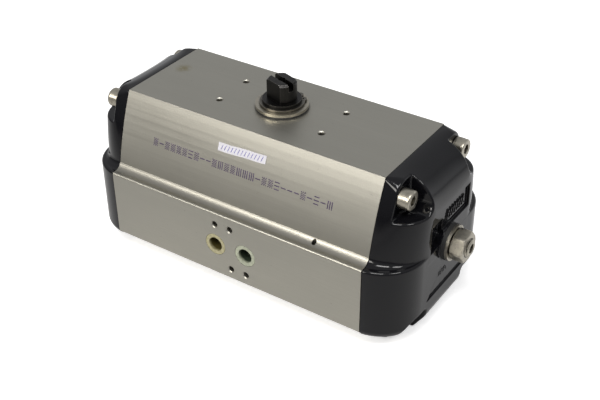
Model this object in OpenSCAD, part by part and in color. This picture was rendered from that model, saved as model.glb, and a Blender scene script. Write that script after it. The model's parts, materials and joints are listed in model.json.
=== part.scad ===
// Rack-and-pinion pneumatic rotary actuator: double acting, a quarter turn of travel.
//
// The origin is the centre of the valve mounting face, on the pinion's axis. +Z runs up the pinion,
// +X runs along the body to the right end cap, and the air ports are on the -Y side.
// Sizes are in millimetres. The drive is drawn 18 degrees short of fully open, with the racks in mesh.

/* [Body] */
// Length of the extruded body, without the end caps
body_length = 198; // [198:1:206]
// Height from the valve mounting face to the top face
body_height = 116; // [116:1:118]
// Radius of the piston bore
bore_r = 50; // [49.5:0.5:50]
// Half width of the flat top face
top_half_width = 37.4; // [36.8:0.2:38]
// Half width at the foot of the sloping upper side
shoulder_half_width = 53.7; // [53.4:0.1:54.2]
// Half width over the vertical lower sides
side_half_width = 62.4; // [62:0.2:64]
// Height of the ledge between the lower and the upper side
ledge_z = 63; // [62:0.5:64]
// Height of the bevel along the bottom edges
bevel_z = 14.5; // [13:0.5:15]

/* [Ports] */
// Distance between the two air ports
port_spacing = 24; // [24:1:26]
// Height of the ports above the valve mounting face
port_z = 37.7; // [37:0.1:38]
// Radius of the port's thread crests (G1/4)
port_r = 5.72; // [5.6:0.02:5.8]
// Vertical distance from the ports to each row of small fixing holes
port_screw_offset = 16; // [15.8:0.1:16.2]

/* [End caps] */
// Length of an end cap along the body
cap_length = 27; // [27:1:29]
// Radius of the roll-over from the top and the upper sides to the outer face
cap_round = 25; // [23:1:25]
// Radius of the lower block's corners in plan
foot_round = 26; // [24:1:26]
// Depth of the cast recesses in the outer face
recess_depth = 1.6; // [1:0.2:2]

/* [Cap screws] */
// Thread diameter of the cap screws
cap_screw_d = 8; // [8:1:8]
// Radius of the circle that the cap screws lie on
cap_screw_circle_r = 58; // [57.8:0.1:58]
// Angle of the cap screws above and below the bore's axis, in degrees
cap_screw_angle = 53.13; // [52.6:0.01:53.6]
// Radius of the inner corner of the clearance pocket around a screw head
pocket_r = 8; // [7.5:0.25:8]

/* [Travel stops] */
// Thread diameter of the stop screws
stop_d = 12; // [12:1:12]
// Distance from the pinion's axis to the tip of a stop screw
stop_tip_x = 98; // [98:0.25:98.5]
// Overall length of a stop screw
stop_length = 44; // [43:1:48]

/* [Drive] */
// Number of teeth on the pinion
teeth = 14; // [14:1:14]
// Gear module
gear_module = 3; // [3:1:3]
// Turn from the drawn position back to fully closed, in degrees
closed_turn = 72; // [72:1:72]
// Angle of the drive head's flats to the body's length, in degrees
head_angle = -18; // [-18:1:-18]
// Height of the drive head above the top face
head_height = 20; // [18:1:22]
// Width of the star socket for the valve stem
socket_width = 22; // [17:1:22]

/* [Hidden] */
$fn = 64;

// Clearance between fitted parts, and how far a cut runs past the surface that it opens
running_gap = 0.05;
eps = 0.5;

// Body section
bore_z = body_height / 2;
joint_x = body_length / 2;
lip_r = 1.3;
cove_start = 25;
cove_rise = 3.9;
shoulder_z = ledge_z + cove_rise;
bevel_run = 15.9;
foot_half_width = side_half_width - bevel_run;
side_bulge = 1.4;
side_lean = atan((shoulder_half_width - top_half_width) / (body_height - shoulder_z));

// Air channel that runs along the body to both end caps
channel_y = -55.5;
channel_z = bore_z - 11.5;
channel_r = 2;
channel_plug_x = 61;
channel_plug_r = 1.6;

// Tapped holes, at their drill sizes. A flange pattern is its circle's diameter, hole radius and depth.
hole_mouth = 0.6;
m5_r = 2.1;
m5_depth = 8;
top_pattern = [80, 30];
flange_big = [102, 4.25, 15];
flange_small = [70, 3.4, 11];

// Air ports, each with a round seat for the rim of its thread protector
port_depth = 12;
port_seat_r = 8;
port_seat_depth = 1;
protector_depth = 9;
protector_wall = 0.5;
middle_passage_r = 3;
end_passage_r = 1.8;

// End cap
face_x = joint_x + cap_length;
pocket_floor_x = joint_x + 10;
cap_screw_shank = 32;
cap_screw_hole_depth = 30;
cap_cavity_r = 42;
cap_cavity_depth = 13;
cap_passage_depth = 8;
upper_block_depth = 2;
upper_block_flare = 0.8;
stop_boss_r = 13;
stop_boss_proud = 0.4;
seal_groove_r = bore_r + 1.8;
seal_groove_w = 2.4;
pocket_wall_y = 23.8;
pocket_wall_z = 34.4;
low_pocket_y = [24.5, 49];
low_pocket_z = 38.4;
low_pocket_corners = [3, 14];
cap_foot_z = bevel_z - 1.1;
cap_foot_end_x = face_x - 9;
cap_foot_corner_r = 8;
panel_y = [-24, 26];
panel_z = [bore_z + 12.5, bore_z + 29.4];
relief_y = [-24, -8];
relief_z = [bore_z + 4, bore_z + 21];
relief_depth = 5;
lower_panel_half_width = 25;
lower_panel_z = bore_z - 33.2;

// Stack of the travel stop, outwards from the cap's face
stop_seal_x = face_x + stop_boss_proud;
stop_washer_x = stop_seal_x + 2.6;
stop_nut_x = stop_washer_x + 1.8;
stop_seal_r = 12.4;
stop_washer_r = 12;
stop_nut_flats = 19;
stop_nut_height = 9.4;
stop_nut_turn = 36;
stop_r = stop_d / 2;
stop_socket_depth = 6;
stop_oring_x = stop_tip_x + 5.5;
stop_oring_r = 1.12;
stop_groove_r = 3.7;
stop_groove_w = 2.6;

// Rack and pinion
pressure_angle = 20;
backlash = 0.1;
pitch_r = gear_module * teeth / 2;
tip_r = pitch_r + gear_module;
root_r = pitch_r - gear_module;
base_r = pitch_r * cos(pressure_angle);
tooth_pitch = PI * gear_module;
rack_addendum = 2.4;
rack_dedendum = 3.5;
rack_half_height = 18;
gear_half_height = 19;
first_tooth = -2;
last_tooth = 6;

// Pistons
piston_length = 18;
piston_closed_x = 45;
piston_r = bore_r - 0.5;
opened_by = pitch_r * closed_turn * PI / 180;
piston_x = piston_closed_x + opened_by;
arm_end_x = -piston_closed_x + 2 + opened_by;
arm_r = bore_r - 3;
pad_depth = 3;
pad_length = 28;
pad_height = 20;
pad_setback = 4;

// Grooves round a piston: distance from its inner face, width and depth
oring_groove = [12.4, 4.4, 3.4];
band_groove = [3.5, 6.2, 2.1];
piston_oring_r = 1.87;

// Pinion
upper_r = 13;
upper_hole_r = 15;
lower_r = 25;
lower_hole_r = 27.5;
shoulder_r = 19;
pinion_bottom = 0.6;
wall = bore_z - bore_r;
thrust_face_z = body_height - wall - 2.1;
shaft_oring_r = 1.7;
upper_groove_z = body_height - 7.9;
lower_groove_z = 1;
insert_flat = 17;
insert_bottom = 0.8;
insert_top = 25;
collar_top = body_height + 6.8;

// Drive head
head_r = 10;
head_flats = 14;
head_chamfer = 1.2;
slot_width = 4;
slot_depth = 5;
indicator_hole_r = 2.5;
indicator_hole_bottom = body_height + 4;

// Rings round the shaft on the top face
thrust_ring_t = 1.2;
thrust_washer_t = 1.9;
snap_ring_z = body_height + 3.2;
snap_ring_t = 1.6;
snap_groove_r = 11.9;

// ---------------------------------------------------------------------------------------------
// Helpers

// Turns a shape drawn along +Z so that it runs along +X on the bore's axis, starting at x
module on_bore_axis(x) {
    translate([x, 0, bore_z]) rotate([0, 90, 0]) children();
}

// Turns a section drawn in (y, z) into a solid that runs along +X from x over a length
module section_along_x(x, length) {
    translate([x, 0, 0]) rotate([90, 0, 90]) linear_extrude(length) children();
}

module ring(inner_r, outer_r, height) {
    difference() {
        cylinder(r = outer_r, h = height);
        translate([0, 0, -eps]) cylinder(r = inner_r, h = height + 2 * eps);
    }
}

// A rectangle from its limits along each axis
module area(x, y) {
    translate([x[0], y[0]]) square([x[1] - x[0], y[1] - y[0]]);
}

module torus(centre_r, section_r) {
    rotate_extrude() translate([centre_r, 0]) circle(r = section_r, $fn = 32);
}

// A hexagon across its flats
module hexagon(flats, height) {
    cylinder(d = flats / cos(30), h = height, $fn = 6);
}

// A blind hole drilled down -Z from the origin, with a small 45 degree countersink
module tapped_hole(r, depth) {
    translate([0, 0, -depth]) cylinder(r = r, h = depth + eps);
    translate([0, 0, -hole_mouth]) cylinder(r1 = r, r2 = r + hole_mouth + 0.1, h = hole_mouth + 0.1);
}

// Both ends of the actuator carry the same parts, half a turn apart
module left_side() {
    rotate(180) children();
}

// ---------------------------------------------------------------------------------------------
// Sections

function mirrored(points) = concat(points, [for (i = [len(points) - 1:-1:0]) [-points[i][0], points[i][1]]]);

function arc(centre, r, from, to, steps) =
    [for (i = [0:steps]) let (a = from + (to - from) * i / steps) centre + r * [cos(a), sin(a)]];

// A point on the slightly bulged upper side: t runs from 0 at the shoulder to 1 at the top corner
function upper_side(t, inset = 0) =
    [shoulder_half_width, shoulder_z]
    + t * [top_half_width - shoulder_half_width, body_height - shoulder_z]
    + (4 * side_bulge * t * (1 - t) - inset) * [cos(side_lean), sin(side_lean)];

cove_r = (shoulder_z - ledge_z) / (1 - sin(cove_start));
cove_centre = [shoulder_half_width + cove_r * cos(cove_start), ledge_z + cove_r];

body_half_section = concat(
    [[foot_half_width, 0], [side_half_width, bevel_z]],
    arc([side_half_width - lip_r, ledge_z - lip_r], lip_r, 0, 90, 6),
    arc(cove_centre, cove_r, 270, 180 + cove_start, 8),
    [for (i = [1:10]) upper_side(i / 10)]
);

// Section of the end cap's upper part, set in from the outside by a distance
module cap_upper_section(inset) {
    top_t = 1 - inset * (1 - sin(side_lean)) / (body_height - shoulder_z);
    polygon(mirrored(concat(
        [[shoulder_half_width + upper_block_flare - inset, ledge_z - upper_block_depth]],
        [for (i = [0:6]) upper_side(top_t * i / 6, inset)]
    )));
}

// Plan of the end cap's lower part, from the joint outwards
module cap_lower_plan(half_width, end_x, corner_r) {
    area([joint_x, end_x - corner_r], [-half_width, half_width]);
    area([joint_x, end_x], [corner_r - half_width, half_width - corner_r]);
    intersection() {
        for (s = [-1, 1])
            translate([end_x - corner_r, s * (half_width - corner_r)]) circle(r = corner_r);
        area([joint_x, end_x], [-half_width, half_width]);
    }
}

// ---------------------------------------------------------------------------------------------
// Body

module screw_places() {
    for (y = [-1, 1], z = [-1, 1])
        translate(cap_screw_circle_r * [0, y * cos(cap_screw_angle), z * sin(cap_screw_angle)]) children();
}

module flange_holes(pattern) {
    for (a = [45:90:315])
        rotate(a) translate([pattern[0] / 2, 0, 0]) rotate([180, 0, 0]) tapped_hole(pattern[1], pattern[2]);
}

// A hole in the front face, drilled inwards along +Y
module from_front(x, z) {
    translate([x, -side_half_width, z]) rotate([90, 0, 0]) children();
}

module port_hole() {
    translate([0, 0, -port_depth]) cylinder(r = port_r, h = port_depth + eps);
    translate([0, 0, -port_seat_depth]) cylinder(r = port_seat_r, h = port_seat_depth + eps);
}

module air_channels() {
    // Port on the left: straight into the middle chamber
    from_front(-port_spacing / 2, port_z) translate([0, 0, -20]) cylinder(r = middle_passage_r, h = 20);
    // Port on the right: up to the channel along the body, which feeds both end chambers
    translate([port_spacing / 2, channel_y, port_z]) cylinder(r = end_passage_r, h = channel_z - port_z);
    translate([-joint_x - eps, channel_y, channel_z]) rotate([0, 90, 0])
        cylinder(r = channel_r, h = body_length + 2 * eps);
    translate([channel_plug_x, channel_y, channel_z]) cylinder(r = channel_plug_r, h = 30);
}

module body() {
    color([0.66, 0.65, 0.6])
    difference() {
        section_along_x(-joint_x, body_length) polygon(mirrored(body_half_section));
        on_bore_axis(-joint_x - eps) cylinder(r = bore_r, h = body_length + 2 * eps);
        for (s = [0, 180])
            translate([0, 0, bore_z]) rotate(s) translate([joint_x, 0, 0]) screw_places()
                rotate([0, 90, 0]) tapped_hole(cap_screw_d / 2, cap_screw_hole_depth);
        // Pinion holes, with a flat seat for the thrust ring inside
        translate([0, 0, bore_z]) cylinder(r = upper_hole_r, h = bore_z + eps);
        translate([0, 0, bore_z]) cylinder(r = shoulder_r + 0.5, h = bore_r);
        translate([0, 0, -eps]) cylinder(r = lower_hole_r, h = bore_z);
        // Accessory pattern on top and valve patterns underneath
        for (x = [-1, 1], y = [-1, 1])
            translate([x * top_pattern[0] / 2, y * top_pattern[1] / 2, body_height])
                tapped_hole(m5_r, m5_depth);
        flange_holes(flange_big);
        flange_holes(flange_small);
        // Air ports and the solenoid valve's fixing holes
        for (s = [-1, 1]) from_front(s * port_spacing / 2, port_z) port_hole();
        for (s = [-1, 1]) from_front(0, port_z + s * port_screw_offset) tapped_hole(m5_r, m5_depth);
        from_front(-port_spacing / 2, port_z + port_screw_offset) tapped_hole(m5_r, m5_depth);
        from_front(port_spacing / 2, port_z - port_screw_offset) tapped_hole(m5_r, m5_depth);
        air_channels();
    }
}

module port_protector(s, shade) {
    color(shade)
    from_front(s * port_spacing / 2, port_z) difference() {
        union() {
            translate([0, 0, -protector_depth]) cylinder(r = port_r - running_gap, h = protector_depth);
            translate([0, 0, running_gap - port_seat_depth])
                cylinder(r = port_seat_r - 0.2, h = port_seat_depth - running_gap);
        }
        translate([0, 0, 2 * protector_wall - protector_depth])
            cylinder(r = port_r - protector_wall, h = protector_depth);
    }
}

module channel_plug() {
    color([0.5, 0.5, 0.45])
    translate([channel_plug_x, channel_y, channel_z + 6]) cylinder(r = channel_plug_r - 0.02, h = 9);
}

// ---------------------------------------------------------------------------------------------
// End caps

module cap_shell() {
    // Bevelled foot, steeper at the end than along the sides
    hull() {
        linear_extrude(0.01)
            cap_lower_plan(foot_half_width, cap_foot_end_x, cap_foot_corner_r, $fn = 32);
        translate([0, 0, cap_foot_z]) linear_extrude(0.01)
            cap_lower_plan(side_half_width, face_x, foot_round, $fn = 32);
    }
    // Lower block
    translate([0, 0, cap_foot_z]) linear_extrude(ledge_z - cap_foot_z)
        cap_lower_plan(side_half_width, face_x, foot_round);
    // Upper block, rounded over towards the outer face
    hull() {
        section_along_x(joint_x, 0.01) cap_upper_section(0);
        for (a = [0:15:90])
            section_along_x(face_x - cap_round * (1 - sin(a)), 0.01)
                cap_upper_section(cap_round * (1 - cos(a)));
    }
}

// Shallow cast panels above and below the travel stop, and a deeper relief beside it
module face_recesses() {
    section_along_x(face_x - recess_depth, recess_depth + eps) {
        area(panel_y, panel_z);
        translate([0, lower_panel_z]) polygon([
            [-lower_panel_half_width, 0],
            [lower_panel_half_width, 0],
            [0, lower_panel_half_width]
        ]);
    }
    section_along_x(face_x - relief_depth, relief_depth + eps) area(relief_y, relief_z);
}

// Clearance round an upper cap screw's head, open to the side and to the top
module upper_screw_pocket() {
    outside = side_half_width;
    inner_corner = [pocket_wall_y + pocket_r, pocket_wall_z + pocket_r];
    linear_extrude(cap_length) {
        translate(inner_corner) circle(r = pocket_r);
        area([inner_corner[0], outside], [pocket_wall_z, outside]);
        area([pocket_wall_y, outside], [inner_corner[1], outside]);
    }
}

// Clearance round a lower cap screw's head, open to the underside
module lower_screw_pocket() {
    outside = side_half_width;
    inner_r = low_pocket_corners[0];
    outer_r = low_pocket_corners[1];
    inner_y = low_pocket_y[0] + inner_r;
    outer_y = low_pocket_y[1] - outer_r;
    linear_extrude(cap_length) {
        translate([inner_y, low_pocket_z + inner_r]) circle(r = inner_r);
        translate([outer_y, low_pocket_z + outer_r]) circle(r = outer_r);
        area([inner_y, outer_y], [low_pocket_z, outside]);
        area([low_pocket_y[0], inner_y], [low_pocket_z + inner_r, outside]);
        area([outer_y, low_pocket_y[1]], [low_pocket_z + outer_r, outside]);
    }
}

// Passage from the body's air channel into the cap's cavity, one on each side
module cap_passages() {
    for (s = [-1, 1]) {
        translate([joint_x - eps, s * channel_y, channel_z])
            rotate([0, 90, 0]) cylinder(r = channel_r, h = cap_passage_depth + eps);
        translate([joint_x + cap_passage_depth - channel_r, s * channel_y, channel_z])
            rotate([s * -90, 0, 0]) cylinder(r = channel_r, h = cap_cavity_r / 2);
    }
}

module end_cap() {
    color([0.16, 0.16, 0.17])
    difference() {
        union() {
            difference() {
                cap_shell();
                face_recesses();
                on_bore_axis(joint_x - eps) ring(stop_boss_r + 1, cap_cavity_r, cap_cavity_depth + eps);
            }
            on_bore_axis(face_x - 3) cylinder(r = stop_boss_r, h = 3 + stop_boss_proud);
        }
        on_bore_axis(joint_x - eps) cylinder(r = stop_r + running_gap, h = cap_length + 2 * eps);
        on_bore_axis(joint_x) translate([0, 0, -eps])
            ring(seal_groove_r - seal_groove_w / 2, seal_groove_r + seal_groove_w / 2, 2.4 + eps);
        translate([joint_x, 0, bore_z]) screw_places() rotate([0, 90, 0]) {
            translate([0, 0, -eps]) cylinder(r = cap_screw_d / 2 + 0.5, h = cap_length);
        }
        for (side = [0, 1])
            translate([pocket_floor_x, 0, bore_z]) mirror([0, side, 0]) {
                rotate([90, 0, 90]) upper_screw_pocket();
                mirror([0, 0, 1]) rotate([90, 0, 90]) lower_screw_pocket();
            }
        cap_passages();
    }
}

module cap_seal() {
    color("black") on_bore_axis(joint_x + 1.2) torus(seal_groove_r, 1.15);
}

// ISO 4762 socket head screw, its head's underside at the origin and its head along +Z
module socket_screw(d, shank) {
    head_r = 0.8125 * d;
    chamfer = 0.1 * d;
    difference() {
        union() {
            translate([0, 0, -shank]) cylinder(r = d / 2 - running_gap, h = shank + eps);
            cylinder(r = head_r, h = d - chamfer);
            translate([0, 0, d - chamfer]) cylinder(r1 = head_r, r2 = head_r - chamfer, h = chamfer);
        }
        translate([0, 0, d / 2]) hexagon(0.75 * d, d);
    }
}

module cap_screws() {
    color([0.75, 0.73, 0.68])
    translate([pocket_floor_x, 0, bore_z]) screw_places()
        rotate([0, 90, 0]) socket_screw(cap_screw_d, cap_screw_shank);
}

// ---------------------------------------------------------------------------------------------
// Travel stops

module stop_seal() {
    color("black") on_bore_axis(stop_seal_x) ring(stop_r + 0.1, stop_seal_r, stop_washer_x - stop_seal_x);
}

module stop_washer() {
    color([0.72, 0.7, 0.64])
    on_bore_axis(stop_washer_x) ring(stop_r + 0.5, stop_washer_r, stop_nut_x - stop_washer_x);
}

// Hexagon nut, both faces chamfered to a circle and countersunk round the thread
module stop_nut() {
    corner_r = 11.2;
    face_r = 9.2;
    chamfer = 1.2;
    countersink = 0.8;
    hole_r = stop_r + running_gap;
    color([0.7, 0.68, 0.62])
    on_bore_axis(stop_nut_x) difference() {
        intersection() {
            rotate(stop_nut_turn) hexagon(stop_nut_flats, stop_nut_height);
            union() {
                cylinder(r1 = face_r, r2 = corner_r, h = chamfer);
                translate([0, 0, chamfer]) cylinder(r = corner_r, h = stop_nut_height - 2 * chamfer);
                translate([0, 0, stop_nut_height - chamfer])
                    cylinder(r1 = corner_r, r2 = face_r, h = chamfer);
            }
        }
        translate([0, 0, -eps]) cylinder(r = hole_r, h = stop_nut_height + 2 * eps);
        translate([0, 0, -0.1]) cylinder(r1 = hole_r + countersink, r2 = hole_r, h = countersink);
        translate([0, 0, stop_nut_height + 0.1 - countersink])
            cylinder(r1 = hole_r, r2 = hole_r + countersink, h = countersink);
    }
}

module stop_screw() {
    chamfer = 1;
    color([0.74, 0.72, 0.66])
    on_bore_axis(stop_tip_x) difference() {
        union() {
            cylinder(r1 = stop_r - chamfer, r2 = stop_r, h = chamfer);
            translate([0, 0, chamfer]) cylinder(r = stop_r, h = stop_length - 2 * chamfer);
            translate([0, 0, stop_length - chamfer])
                cylinder(r1 = stop_r, r2 = stop_r - chamfer, h = chamfer);
        }
        translate([0, 0, stop_oring_x - stop_tip_x - stop_groove_w / 2])
            ring(stop_groove_r, stop_r + eps, stop_groove_w);
        translate([0, 0, stop_length - stop_socket_depth]) hexagon(stop_d / 2, stop_socket_depth + eps);
    }
}

module stop_oring() {
    color("black") on_bore_axis(stop_oring_x) torus(stop_groove_r + stop_oring_r + 0.03, stop_oring_r);
}

// ---------------------------------------------------------------------------------------------
// Pistons. The right piston's rack runs past the -Y side of the pinion, and faces it.

module piston_groove(groove) {
    translate([0, 0, groove[0]]) ring(piston_r - groove[2], piston_r + eps, groove[1]);
}

// One rack tooth in plan, centred on x = 0, pointing towards +Y from the root line
module rack_tooth() {
    half = tooth_pitch / 4 - backlash / 2;
    slope = tan(pressure_angle);
    polygon([
        [-half - slope * rack_dedendum - 0.1, -pitch_r - rack_dedendum - 0.5],
        [half + slope * rack_dedendum + 0.1, -pitch_r - rack_dedendum - 0.5],
        [half + slope * rack_dedendum, -pitch_r - rack_dedendum],
        [half - slope * rack_addendum, -pitch_r + rack_addendum],
        [-half + slope * rack_addendum, -pitch_r + rack_addendum],
        [-half - slope * rack_dedendum, -pitch_r - rack_dedendum]
    ]);
}

module rack_arm() {
    length = piston_x + eps - arm_end_x;
    intersection() {
        on_bore_axis(arm_end_x) cylinder(r = arm_r, h = length);
        translate([arm_end_x, -arm_r, bore_z - rack_half_height])
            cube([length, arm_r - pitch_r - rack_dedendum, 2 * rack_half_height]);
    }
    intersection() {
        translate([0, 0, bore_z - rack_half_height]) linear_extrude(2 * rack_half_height)
            for (k = [first_tooth:last_tooth]) translate([k * tooth_pitch, 0]) rack_tooth();
        translate([arm_end_x, -bore_r, 0]) cube([length, bore_r, body_height]);
    }
}

module pad_space(gap) {
    translate([arm_end_x + pad_setback - gap, -bore_r, bore_z - pad_height / 2 - gap])
        cube([pad_length + 2 * gap, bore_r - arm_r + pad_depth + gap, pad_height + 2 * gap]);
}

module piston() {
    color([0.7, 0.71, 0.72])
    difference() {
        union() {
            on_bore_axis(piston_x) difference() {
                cylinder(r = piston_r, h = piston_length);
                piston_groove(oring_groove);
                piston_groove(band_groove);
            }
            rack_arm();
        }
        pad_space(running_gap);
    }
}

module piston_oring() {
    color("black") on_bore_axis(piston_x + oring_groove[0] + oring_groove[1] / 2)
        torus(bore_r - piston_oring_r - 0.08, piston_oring_r);
}

module piston_wear_band() {
    color("ivory") on_bore_axis(piston_x + band_groove[0] + 0.1)
        ring(piston_r - band_groove[2] + 0.1, bore_r - running_gap, band_groove[1] - 0.2);
}

module rack_guide_pad() {
    color("ivory")
    intersection() {
        on_bore_axis(arm_end_x) cylinder(r = bore_r - running_gap, h = pad_length + 2 * pad_setback);
        pad_space(0);
    }
}

// ---------------------------------------------------------------------------------------------
// Pinion

// Roll angle at which the involute reaches a radius, and the point there, measured from its start
function roll(r) = sqrt(pow(r / base_r, 2) - 1) * 180 / PI;
function involute_angle(r) = roll(r) - atan(roll(r) * PI / 180);

// Half of the angle that a tooth takes up at the radius r
function tooth_half_angle(r) =
    (tooth_pitch / 2 - backlash) / pitch_r * 90 / PI
    + involute_angle(pitch_r) - involute_angle(max(r, base_r));

function flank_radius(i) = i == 0 ? root_r : base_r + (tip_r - base_r) * (i - 1) / 6;

module gear_section() {
    polygon([for (k = [0:teeth - 1], side = [-1, 1], i = [0:7])
        let (
            r = flank_radius(side < 0 ? i : 7 - i),
            a = 90 + (k + 0.5) * 360 / teeth + side * tooth_half_angle(r)
        )
        r * [cos(a), sin(a)]
    ]);
}

// The flatted head, along its long axis at angle 0
module drive_head() {
    bottom = collar_top - eps;
    top = body_height + head_height;
    difference() {
        intersection() {
            union() {
                translate([0, 0, bottom]) cylinder(r = head_r, h = top - head_chamfer - bottom);
                translate([0, 0, top - head_chamfer])
                    cylinder(r1 = head_r, r2 = head_r - head_chamfer, h = head_chamfer);
            }
            translate([-head_r, -head_flats / 2, bottom]) cube([2 * head_r, head_flats, top - bottom]);
        }
        translate([-head_r - eps, -slot_width / 2, top - slot_depth])
            cube([2 * (head_r + eps), slot_width, slot_depth + eps]);
    }
}

module star_socket(width, height) {
    for (a = [0, 45]) rotate(a) translate([-width / 2, -width / 2, 0]) cube([width, width, height]);
}

module pinion() {
    color([0.13, 0.13, 0.14])
    difference() {
        union() {
            translate([0, 0, pinion_bottom]) cylinder(r = lower_r, h = 12);
            translate([0, 0, pinion_bottom]) cylinder(r = root_r, h = thrust_face_z - pinion_bottom);
            translate([0, 0, bore_z - gear_half_height]) linear_extrude(2 * gear_half_height) gear_section();
            translate([0, 0, thrust_face_z - 8]) cylinder(r = shoulder_r, h = 8);
            translate([0, 0, bore_z]) cylinder(r = upper_r, h = collar_top - bore_z);
            rotate(head_angle) drive_head();
        }
        translate([0, 0, upper_groove_z]) ring(upper_r - 1.6, upper_r + eps, 3.8);
        translate([0, 0, lower_groove_z]) ring(lower_r - 1.3, lower_r + eps, 3.6);
        translate([0, 0, snap_ring_z - running_gap])
            ring(snap_groove_r, upper_r + eps, snap_ring_t + 2 * running_gap);
        cylinder(r = (insert_flat + running_gap) / cos(22.5), h = insert_top + running_gap, $fn = 8);
        translate([0, 0, indicator_hole_bottom]) cylinder(r = indicator_hole_r, h = head_height);
    }
}

module drive_insert() {
    color([0.6, 0.6, 0.6])
    translate([0, 0, insert_bottom]) difference() {
        cylinder(r = insert_flat / cos(22.5), h = insert_top - insert_bottom, $fn = 8);
        translate([0, 0, -eps]) star_socket(socket_width, insert_top - insert_bottom);
    }
}

module pinion_upper_bush() {
    color("ivory") translate([0, 0, body_height - 3.9]) ring(upper_r + running_gap, upper_hole_r - 0.02, 3.9);
}

module pinion_lower_bush() {
    color("ivory") translate([0, 0, 4.8]) ring(lower_r + running_gap, lower_hole_r - 0.02, wall - 4.8);
}

module pinion_upper_oring() {
    color("black") translate([0, 0, upper_groove_z + 1.9]) torus(upper_r + 0.2, shaft_oring_r);
}

module pinion_lower_oring() {
    color("black") translate([0, 0, lower_groove_z + 1.8]) torus(lower_r + 0.62, shaft_oring_r);
}

module inner_thrust_ring() {
    color("ivory") translate([0, 0, thrust_face_z + running_gap]) ring(upper_r + 0.1, shoulder_r + 0.2, 2);
}

module thrust_ring() {
    color("black") translate([0, 0, body_height]) ring(upper_r + 0.1, 17.5, thrust_ring_t);
}

module thrust_washer() {
    color([0.78, 0.76, 0.7])
    translate([0, 0, body_height + thrust_ring_t + running_gap]) ring(upper_r + 0.1, 17.75, thrust_washer_t);
}

// Open ring with two lugs, each with a hole for the pliers
module snap_ring() {
    inner_r = snap_groove_r + 0.1;
    outer_r = 14.9;
    opening = head_angle + 72;
    lug_angles = [-13, 13];
    lug_r = 2.2;
    lug_place = 14.1;
    lug_hole_r = 0.8;
    color([0.3, 0.3, 0.28])
    translate([0, 0, snap_ring_z]) rotate(opening) difference() {
        union() {
            ring(inner_r, outer_r, snap_ring_t);
            for (a = lug_angles) rotate(a) translate([lug_place, 0, 0]) cylinder(r = lug_r, h = snap_ring_t);
        }
        translate([0, 0, -eps]) {
            cylinder(r = inner_r, h = snap_ring_t + 2 * eps);
            for (a = lug_angles) rotate(a) translate([lug_place, 0, 0])
                cylinder(r = lug_hole_r, h = snap_ring_t + 2 * eps);
            translate([inner_r - 4, -1, 0]) cube([12, 2, snap_ring_t + 2 * eps]);
        }
    }
}

// ---------------------------------------------------------------------------------------------

body();
left_side() end_cap();  // end_cap_left
end_cap();  // end_cap_right
left_side() cap_seal();  // cap_seal_left
cap_seal();  // cap_seal_right
left_side() cap_screws();  // cap_screws_left
cap_screws();  // cap_screws_right
left_side() stop_seal();  // stop_seal_left
stop_seal();  // stop_seal_right
left_side() stop_washer();  // stop_washer_left
stop_washer();  // stop_washer_right
left_side() stop_nut();  // stop_nut_left
stop_nut();  // stop_nut_right
left_side() stop_screw();  // stop_screw_left
stop_screw();  // stop_screw_right
left_side() stop_oring();  // stop_oring_left
stop_oring();  // stop_oring_right
left_side() piston();  // piston_left
piston();  // piston_right
left_side() piston_oring();  // piston_oring_left
piston_oring();  // piston_oring_right
left_side() piston_wear_band();  // piston_wear_band_left
piston_wear_band();  // piston_wear_band_right
left_side() rack_guide_pad();  // rack_guide_pad_left
rack_guide_pad();  // rack_guide_pad_right
pinion();
drive_insert();
pinion_upper_bush();
pinion_lower_bush();
pinion_upper_oring();
pinion_lower_oring();
inner_thrust_ring();
thrust_ring();
thrust_washer();
snap_ring();
port_protector(-1, [0.75, 0.7, 0.45]);  // port_protector_left
port_protector(1, [0.6, 0.66, 0.56]);  // port_protector_right
channel_plug();
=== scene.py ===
import json
import math

import bpy
import numpy as np
import openvdb
from mathutils import Matrix, Vector


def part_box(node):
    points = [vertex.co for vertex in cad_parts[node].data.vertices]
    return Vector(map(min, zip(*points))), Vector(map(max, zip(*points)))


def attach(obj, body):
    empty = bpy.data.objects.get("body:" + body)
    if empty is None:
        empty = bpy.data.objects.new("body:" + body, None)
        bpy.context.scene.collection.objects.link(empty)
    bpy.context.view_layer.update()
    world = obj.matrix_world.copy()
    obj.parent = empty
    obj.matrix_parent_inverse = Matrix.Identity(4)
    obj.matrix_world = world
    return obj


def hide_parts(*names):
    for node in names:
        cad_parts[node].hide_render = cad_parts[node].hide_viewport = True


# Looks for a rack-and-pinion rotary pneumatic actuator. Shapes are worked out in millimetres in the
# row's frame (+X to the right end cap, air ports on -Y, +Z up the shaft) and turned into metres
# when a mesh is made. The end caps are distance fields meshed on a fine grid, the fasteners are
# rings of points skinned together, and everything else is the CAD's own mesh with a fine bevel.

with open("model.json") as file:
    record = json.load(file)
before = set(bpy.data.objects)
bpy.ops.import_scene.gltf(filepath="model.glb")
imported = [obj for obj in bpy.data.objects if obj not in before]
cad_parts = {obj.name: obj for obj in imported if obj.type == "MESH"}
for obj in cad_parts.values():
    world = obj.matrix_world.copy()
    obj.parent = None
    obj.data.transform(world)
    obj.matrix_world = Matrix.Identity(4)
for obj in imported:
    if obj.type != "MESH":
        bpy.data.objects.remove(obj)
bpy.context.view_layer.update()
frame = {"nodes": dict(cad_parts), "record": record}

MM = 0.001


def box_mm(node):
    low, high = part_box(node)
    return np.array(low) / MM, np.array(high) / MM


# ------------------------------------------------------------------------------------------------
# Sizes, from the frame where it holds them

_, body_high = box_mm("body")
JOINT_X = body_high[0]                  # where the body ends and an end cap starts
SIDE_Y = body_high[1]                   # half width over the lower sides
TOP_Z = body_high[2]
AXIS_Z = TOP_Z / 2                      # height of the piston bore's axis
FACE_X = JOINT_X + 27.0                 # outer face of an end cap

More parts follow.
